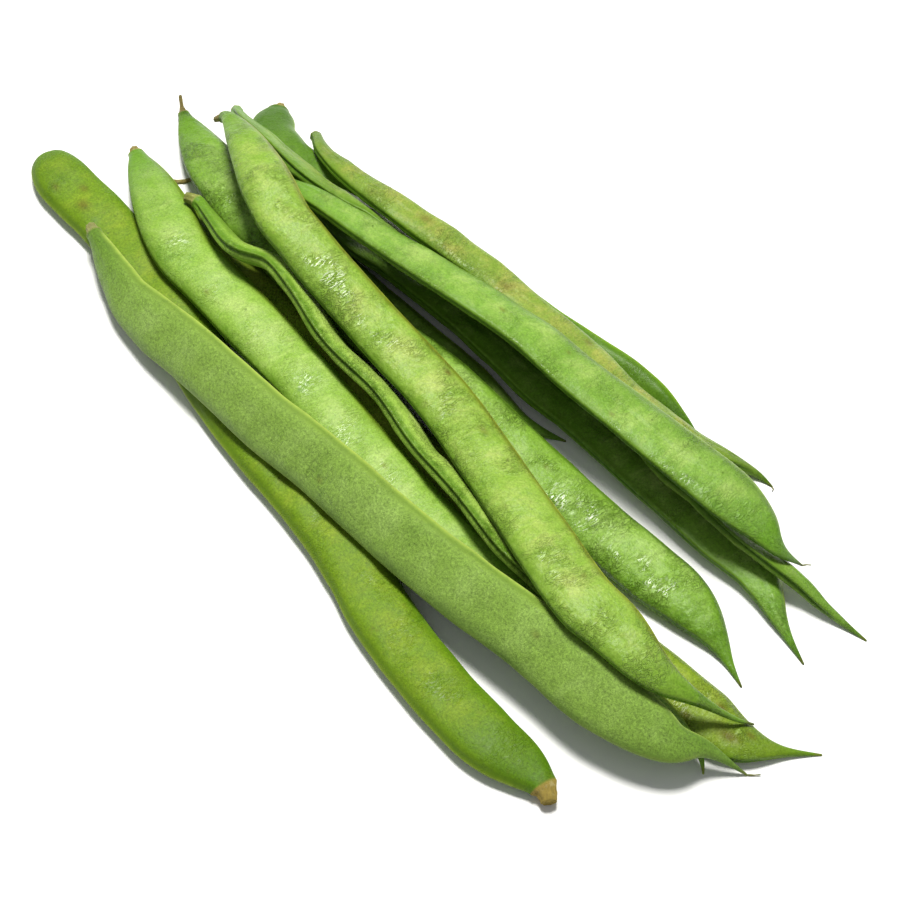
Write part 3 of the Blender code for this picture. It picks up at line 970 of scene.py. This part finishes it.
def make_flesh_group():
    """Colour of living pod skin: clouds, mottling between the seeds, veins, grain, freckles and spots."""
    takes = (
        ("Flesh", COLOUR, paint(150, 184, 88)),
        ("Pale", COLOUR, paint(184, 205, 124)),
        ("Deep", COLOUR, paint(98, 142, 40)),
        ("Mottle", FLOAT, 0.5),
        ("Grain", FLOAT, 0.5),
        ("Freckles", FLOAT, 0.3),
        ("Blemish", FLOAT, 0.0),
        ("Place", VECTOR, (0, 0, 0)),
    )
    group, take, give = new_group("living_skin", takes, (("Colour", COLOUR), ("Cloud", FLOAT)))
    n = Nodes(group)
    solid = n.stretch(n.add("ShaderNodeTexCoord").outputs["Object"], (1000, 1000, 1000), take["Place"])
    uv = n.add("ShaderNodeUVMap", uv_map="along_and_around").outputs["UV"]
    flat = n.stretch(uv, (1 / UV_SCALE, 1 / UV_SCALE, 1), take["Place"])
    cloud = n.noise(solid, 0.075, 3.0, 0.55, 0.4)
    blotch = n.noise(n.stretch(flat, (0.2, 0.16, 1)), 1.0, 5.0, 0.66, 0.9)
    vein = n.noise(n.stretch(flat, (0.85, 0.6, 1)), 1.0, 5.0, 0.72, 0.9)
    grain = n.noise(solid, 1.5, 4.0, 0.75)
    fine = n.noise(solid, 4.3, 2.0, 0.6)
    seed = n.mask("seed")
    lift = n.math("MULTIPLY_ADD", blotch, 0.75, n.math("MULTIPLY", cloud, 0.55))
    lift = n.math("MULTIPLY_ADD", seed, 0.22, lift)
    paler = n.math("MULTIPLY", n.span(lift, 0.62, 0.98), take["Mottle"])
    deeper = n.math("MULTIPLY", n.span(lift, 0.62, 0.38), take["Mottle"])
    colour = n.mix(paler, take["Flesh"], take["Pale"])
    colour = n.mix(deeper, colour, take["Deep"])
    colour = n.mix(n.math("MULTIPLY", n.span(vein, 0.52, 0.7), 0.38), colour, take["Deep"])
    colour = n.mix(n.math("MULTIPLY", n.span(vein, 0.46, 0.3), 0.3), colour, take["Pale"])
    fresh = n.mix(1.0, take["Deep"], (0.95, 1.0, 0.45, 1), "MULTIPLY")
    colour = n.mix(n.math("MULTIPLY", n.mask("ends"), 0.8), colour, fresh)
    scar = n.math("MULTIPLY", n.mask("scar"), n.span(fine, 0.3, 0.55, 0.4, 1.0))
    colour = n.mix(scar, colour, paint(92, 70, 22))
    coarse = n.math("SUBTRACT", grain, 0.5)
    light = n.math("MULTIPLY_ADD", coarse, n.math("MULTIPLY", take["Grain"], 1.5), 1.0)
    down = n.math("MULTIPLY", n.math("SUBTRACT", fine, 0.5), take["Grain"])
    light = n.math("MULTIPLY_ADD", down, 0.8, light)
    level = n.add("ShaderNodeCombineColor")
    for socket in level.inputs:
        n.put(socket, light)
    colour = n.mix(1.0, colour, level.outputs[0], "MULTIPLY")
    cells = n.add("ShaderNodeTexVoronoi", feature="F1")
    n.put(cells.inputs["Vector"], solid)
    cells.inputs["Scale"].default_value = 0.42
    sizes = n.add("ShaderNodeSeparateColor")
    n.put(sizes.inputs[0], cells.outputs["Color"])
    reach = n.math("MULTIPLY", n.span(sizes.outputs[0], 0.72, 1.0), 0.17)
    dot = n.span(n.math("SUBTRACT", cells.outputs["Distance"], reach), 0.05, -0.05)
    dot = n.math("MULTIPLY", dot, n.span(reach, 0.0, 0.03))
    colour = n.mix(n.math("MULTIPLY", dot, take["Freckles"]), colour, paint(72, 98, 24))
    spot = n.noise(n.stretch(solid, (1, 1, 1), (41, 7, 3)), 0.11, 4.0, 0.66, 0.6)
    spot = n.math("MULTIPLY", n.span(spot, 0.6, 0.72), n.span(fine, 0.35, 0.6))
    colour = n.mix(n.math("MULTIPLY", spot, take["Blemish"]), colour, paint(104, 104, 34))
    n.put(give["Colour"], colour)
    n.put(give["Cloud"], lift)
    return group


def make_edge_group():
    """Sutures, rims, the dry pedicel and the beak laid over a pod's skin; the rims carry painted light and
    painted shade, the suture grooves painted shade.
    """
    takes = (
        ("Skin", COLOUR, (0, 0, 0, 1)),
        ("Shade Edge", COLOUR, paint(84, 132, 22)),
        ("Sun Edge", COLOUR, paint(168, 186, 76)),
        ("Suture", COLOUR, paint(172, 190, 84)),
        ("Stalk", COLOUR, paint(166, 150, 92)),
        ("Edge", FLOAT, 0.6),
        ("Line", FLOAT, 0.4),
    )
    group, take, give = new_group("edges_and_ends", takes, (("Colour", COLOUR), ("Dry", FLOAT)))
    n = Nodes(group)
    solid = n.stretch(n.add("ShaderNodeTexCoord").outputs["Object"], (1000, 1000, 1000))
    uv = n.add("ShaderNodeUVMap", uv_map="along_and_around").outputs["UV"]
    fibre = n.noise(n.stretch(uv, (0.5 / UV_SCALE, 4.5 / UV_SCALE, 1)), 1.0, 3.0, 0.7)
    worn = n.noise(solid, 0.5, 3.0, 0.6)
    rim = n.math("MULTIPLY", n.mask("rim"), n.span(worn, 0.25, 0.6, 0.45, 1.0))
    rim = n.math("MULTIPLY", rim, take["Edge"])
    # rims: a deeper green of their own, with painted light on the left rim (sun edge) and painted shade on
    # the right rim (shade edge)
    edge = n.mix(n.mask("painted_sun_side"), take["Shade Edge"], take["Sun Edge"])
    colour = n.mix(rim, take["Skin"], edge)
    line = n.math("MULTIPLY", n.mask("suture"), n.span(worn, 0.3, 0.6, 0.5, 1.0))
    colour = n.mix(n.math("MULTIPLY", line, take["Line"]), colour, take["Suture"])
    # painted shade in the suture groove and beside the ridge
    colour = n.mix(n.math("MULTIPLY", n.mask("crease"), 0.55), colour, paint(58, 92, 8))
    tip = n.mask("tip")
    colour = n.mix(n.math("MULTIPLY", tip, 0.6), colour, take["Shade Edge"])
    colour = n.mix(n.span(tip, 0.95, 1.0), colour, paint(104, 118, 40))
    stalk = n.mask("stalk")
    dry = n.mix(n.span(fibre, 0.4, 0.72), take["Stalk"], paint(128, 110, 60))
    dry = n.mix(n.span(worn, 0.55, 0.72, 0.0, 0.6), dry, paint(196, 184, 128))
    colour = n.mix(n.span(stalk, 0.15, 0.9), colour, dry)
    n.put(give["Colour"], colour)
    n.put(give["Dry"], stalk)
    return group


def make_relief_group():
    """Fine relief too small to be in the mesh, in mm: puckers, pores, soft swellings and fibres of the
    pedicel.
    """
    takes = (("Pores", FLOAT, 0.03), ("Wrinkles", FLOAT, 0.05), ("Place", VECTOR, (0, 0, 0)))
    group, take, give = new_group("fine_relief", takes, (("Height", FLOAT), ("Wet", FLOAT)))
    n = Nodes(group)
    solid = n.stretch(n.add("ShaderNodeTexCoord").outputs["Object"], (1000, 1000, 1000), take["Place"])
    uv = n.add("ShaderNodeUVMap", uv_map="along_and_around").outputs["UV"]
    flat = n.stretch(uv, (1 / UV_SCALE, 1 / UV_SCALE, 1), take["Place"])
    patch = n.noise(solid, 0.1, 2.0, 0.5)
    patch = n.math("MULTIPLY_ADD", n.mask("pucker"), 0.5, n.span(patch, 0.45, 0.62))
    pucker = n.noise(n.stretch(flat, (0.7, 0.42, 1)), 1.0, 4.0, 0.6, 0.9)
    crease = n.math("ABSOLUTE", n.math("SUBTRACT", pucker, 0.5))
    crease = n.math("MULTIPLY", n.span(crease, 0.0, 0.11), n.math("MULTIPLY", patch, take["Wrinkles"]))
    swell = n.noise(solid, 0.55, 2.0, 0.5)
    pores = n.noise(solid, 3.2, 3.0, 0.65)
    fibre = n.noise(n.stretch(uv, (0.6 / UV_SCALE, 5.0 / UV_SCALE, 1)), 1.0, 2.0, 0.6)
    height = n.math("MULTIPLY_ADD", pores, take["Pores"], crease)
    height = n.math("MULTIPLY_ADD", swell, n.math("MULTIPLY", take["Wrinkles"], 1.4), height)
    dry = n.mask("stalk")
    height = n.math("MULTIPLY_ADD", n.math("MULTIPLY", fibre, dry), 0.25, height)
    n.put(give["Height"], height)
    streak = n.noise(n.stretch(flat, (1.1, 0.45, 1)), 1.0, 4.0, 0.72, 1.6)
    shine = n.math("MULTIPLY", n.span(streak, 0.53, 0.6), n.span(patch, 0.15, 1.0))
    n.put(give["Wet"], n.math("MULTIPLY", shine, n.math("SUBTRACT", 1.0, dry)))
    return group


def pod_skin(pod, look, number, groups):
    """Skin of one pod, with its own colours and its own run of the pattern."""
    made = bpy.data.materials.new("skin_" + pod.name)
    made.use_nodes = True
    n = Nodes(made.node_tree)
    shader = made.node_tree.nodes["Principled BSDF"]
    place = (37.0 * number, 11.0 * number, 5.0 * number)
    flesh = n.add("ShaderNodeGroup", node_tree=groups["flesh"])
    for label, value in (
        ("Flesh", paint(*look.flesh)),
        ("Pale", paint(*look.pale)),
        ("Deep", paint(*look.deep)),
        ("Mottle", look.mottle),
        ("Grain", look.grain),
        ("Freckles", look.freckles),
        ("Blemish", look.blemish),
        ("Place", place),
    ):
        n.put(flesh.inputs[label], value)
    edge = n.add("ShaderNodeGroup", node_tree=groups["edge"])
    n.put(edge.inputs["Skin"], flesh.outputs["Colour"])
    n.put(edge.inputs["Shade Edge"], paint(*look.shade_edge))
    n.put(edge.inputs["Sun Edge"], paint(*look.sun_edge))
    n.put(edge.inputs["Stalk"], paint(*look.stalk))
    n.put(edge.inputs["Edge"], look.edge)
    n.put(edge.inputs["Line"], look.line)
    relief = n.add("ShaderNodeGroup", node_tree=groups["relief"])
    n.put(relief.inputs["Pores"], look.pores)
    n.put(relief.inputs["Wrinkles"], look.wrinkles)
    n.put(relief.inputs["Place"], place)
    bump = n.add("ShaderNodeBump")
    bump.inputs["Strength"].default_value = 1.0
    bump.inputs["Distance"].default_value = MM
    n.put(bump.inputs["Height"], relief.outputs["Height"])
    rough = n.span(flesh.outputs["Cloud"], 0.4, 0.9, look.rough - 0.06, look.rough + 0.06)
    rough = n.math("MULTIPLY_ADD", edge.outputs["Dry"], 0.3, rough)
    n.put(shader.inputs["Base Color"], edge.outputs["Colour"])
    n.put(shader.inputs["Roughness"], rough)
    n.put(shader.inputs["Normal"], bump.outputs["Normal"])
    n.put(shader.inputs["Coat Weight"], n.math("MULTIPLY", relief.outputs["Wet"], look.gloss))
    shader.inputs["Coat Roughness"].default_value = look.coat_rough
    shader.inputs["IOR"].default_value = 1.4
    shader.inputs["Specular IOR Level"].default_value = look.satin
    shader.inputs["Sheen Weight"].default_value = look.down
    shader.inputs["Sheen Roughness"].default_value = 0.5
    shader.inputs["Sheen Tint"].default_value = (0.85, 1.0, 0.7, 1)
    return made


def withered_skin():
    """Dry, brownish green fibre of the threads past the beaks."""
    made = bpy.data.materials.new("skin_withered")
    made.use_nodes = True
    n = Nodes(made.node_tree)
    shader = made.node_tree.nodes["Principled BSDF"]
    solid = n.stretch(n.add("ShaderNodeTexCoord").outputs["Object"], (1000, 1000, 1000))
    tone = n.noise(solid, 1.4, 3.0, 0.6)
    colour = n.mix(n.span(tone, 0.35, 0.65), paint(84, 104, 34), paint(128, 118, 62))
    n.put(shader.inputs["Base Color"], colour)
    bump = n.add("ShaderNodeBump")
    bump.inputs["Distance"].default_value = MM
    n.put(bump.inputs["Height"], n.math("MULTIPLY", tone, 0.05))
    n.put(shader.inputs["Normal"], bump.outputs["Normal"])
    n.put(shader.inputs["Roughness"], n.span(tone, 0.3, 0.7, 0.55, 0.75))
    return made


# ---------------------------------------------------------------- studio


def studio():
    """A pale floor, a large white surround, one soft lamp from behind on the right, and the camera."""
    scene = bpy.context.scene
    scene.view_settings.view_transform = "Standard"
    scene.view_settings.look = "None"
    world = bpy.data.worlds.new("white_surround")
    world.use_nodes = True
    sky = Nodes(world.node_tree)
    light = world.node_tree.nodes["Background"]
    light.inputs["Color"].default_value = (0.96, 0.98, 1.0, 1)
    light.inputs["Strength"].default_value = SURROUND
    backdrop = sky.add("ShaderNodeBackground")
    backdrop.inputs["Color"].default_value = (0.95, 0.95, 0.95, 1)
    either = sky.add("ShaderNodeMixShader")
    sky.put(either.inputs[0], sky.add("ShaderNodeLightPath").outputs["Is Camera Ray"])
    sky.put(either.inputs[1], light.outputs[0])
    sky.put(either.inputs[2], backdrop.outputs[0])
    sky.put(world.node_tree.nodes["World Output"].inputs["Surface"], either.outputs[0])
    scene.world = world
    target = Vector(TARGET)
    lamp = bpy.data.lights.new("softbox", "AREA")
    lamp.shape = "SQUARE"
    lamp.size = LAMP_SIZE
    lamp.energy = LAMP_POWER
    lamp.color = (1.0, 0.985, 0.94)
    holder = bpy.data.objects.new("softbox", lamp)
    toward = Vector(LAMP_DIRECTION).normalized()
    holder.location = target + toward * LAMP_DISTANCE
    holder.rotation_euler = toward.to_track_quat("Z", "Y").to_euler()
    scene.collection.objects.link(holder)
    camera = bpy.data.cameras.new("camera")
    camera.lens = 85
    camera.sensor_width = 36
    camera.clip_start, camera.clip_end = 0.01, 20
    eye = bpy.data.objects.new("camera", camera)
    azimuth, elevation = math.radians(CAMERA_AZIMUTH), math.radians(CAMERA_ELEVATION)
    back = Vector(
        (
            math.sin(azimuth) * math.cos(elevation),
            -math.cos(azimuth) * math.cos(elevation),
            math.sin(elevation),
        )
    )
    eye.location = target + back * CAMERA_DISTANCE
    eye.rotation_euler = back.to_track_quat("Z", "Y").to_euler()
    scene.collection.objects.link(eye)
    scene.camera = eye
    floor = bpy.data.meshes.new("floor")
    corners = [(x * FLOOR_HALF, y * FLOOR_HALF, 0) for x, y in ((-1, -1), (1, -1), (1, 1), (-1, 1))]
    floor.from_pydata(corners, [], [(0, 1, 2, 3)])
    white = bpy.data.materials.new("pale_floor")
    white.use_nodes = True
    paper = Nodes(white.node_tree)
    shader = white.node_tree.nodes["Principled BSDF"]
    where = paper.add("ShaderNodeTexCoord").outputs["Object"]
    tone = paper.mix(paper.noise(where, 40.0, 3.0), (0.93, 0.93, 0.93, 1), (0.96, 0.96, 0.96, 1))
    paper.put(shader.inputs["Base Color"], tone)
    shader.inputs["Roughness"].default_value = 0.9
    floor.materials.append(white)
    ground = bpy.data.objects.new("floor", floor)
    scene.collection.objects.link(ground)


def plan_shift():
    """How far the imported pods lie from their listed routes, from the outermost pod's box."""
    pod = PODS[0]
    length = smooth_path(pod.route)
    s = stations(pod, length)
    plan = smooth_path(pod.route, s)
    wide, deep, _ = half_sizes(pod, s, length)
    left = left_of(plan)
    turn = 2 * math.pi * (np.arange(CAD_RING) + 0.5) / CAD_RING
    reach = plan[:, None, :] + left[:, None, :] * (wide[:, None] * np.cos(turn))[:, :, None]
    reach = reach.reshape(-1, 2)
    low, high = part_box(pod.name)
    found = (np.array(low[:2]) + np.array(high[:2])) / 2 / MM
    return found - (reach.min(axis=0) + reach.max(axis=0)) / 2


def main():
    studio()
    groups = {"flesh": make_flesh_group(), "edge": make_edge_group(), "relief": make_relief_group()}
    shift = plan_shift()
    withered = withered_skin()
    for number, pod in enumerate(PODS):
        look = LOOKS[pod.look]
        course = Course(pod, look, shift)
        piece = pod_piece(pod, look, course, number)
        piece.data.materials.append(pod_skin(pod, look, number, groups))
        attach(piece, "root")
        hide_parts(pod.name)
        if pod.name in THREADS:
            thread = thread_piece(pod, course, withered)
            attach(thread, "root")


main()
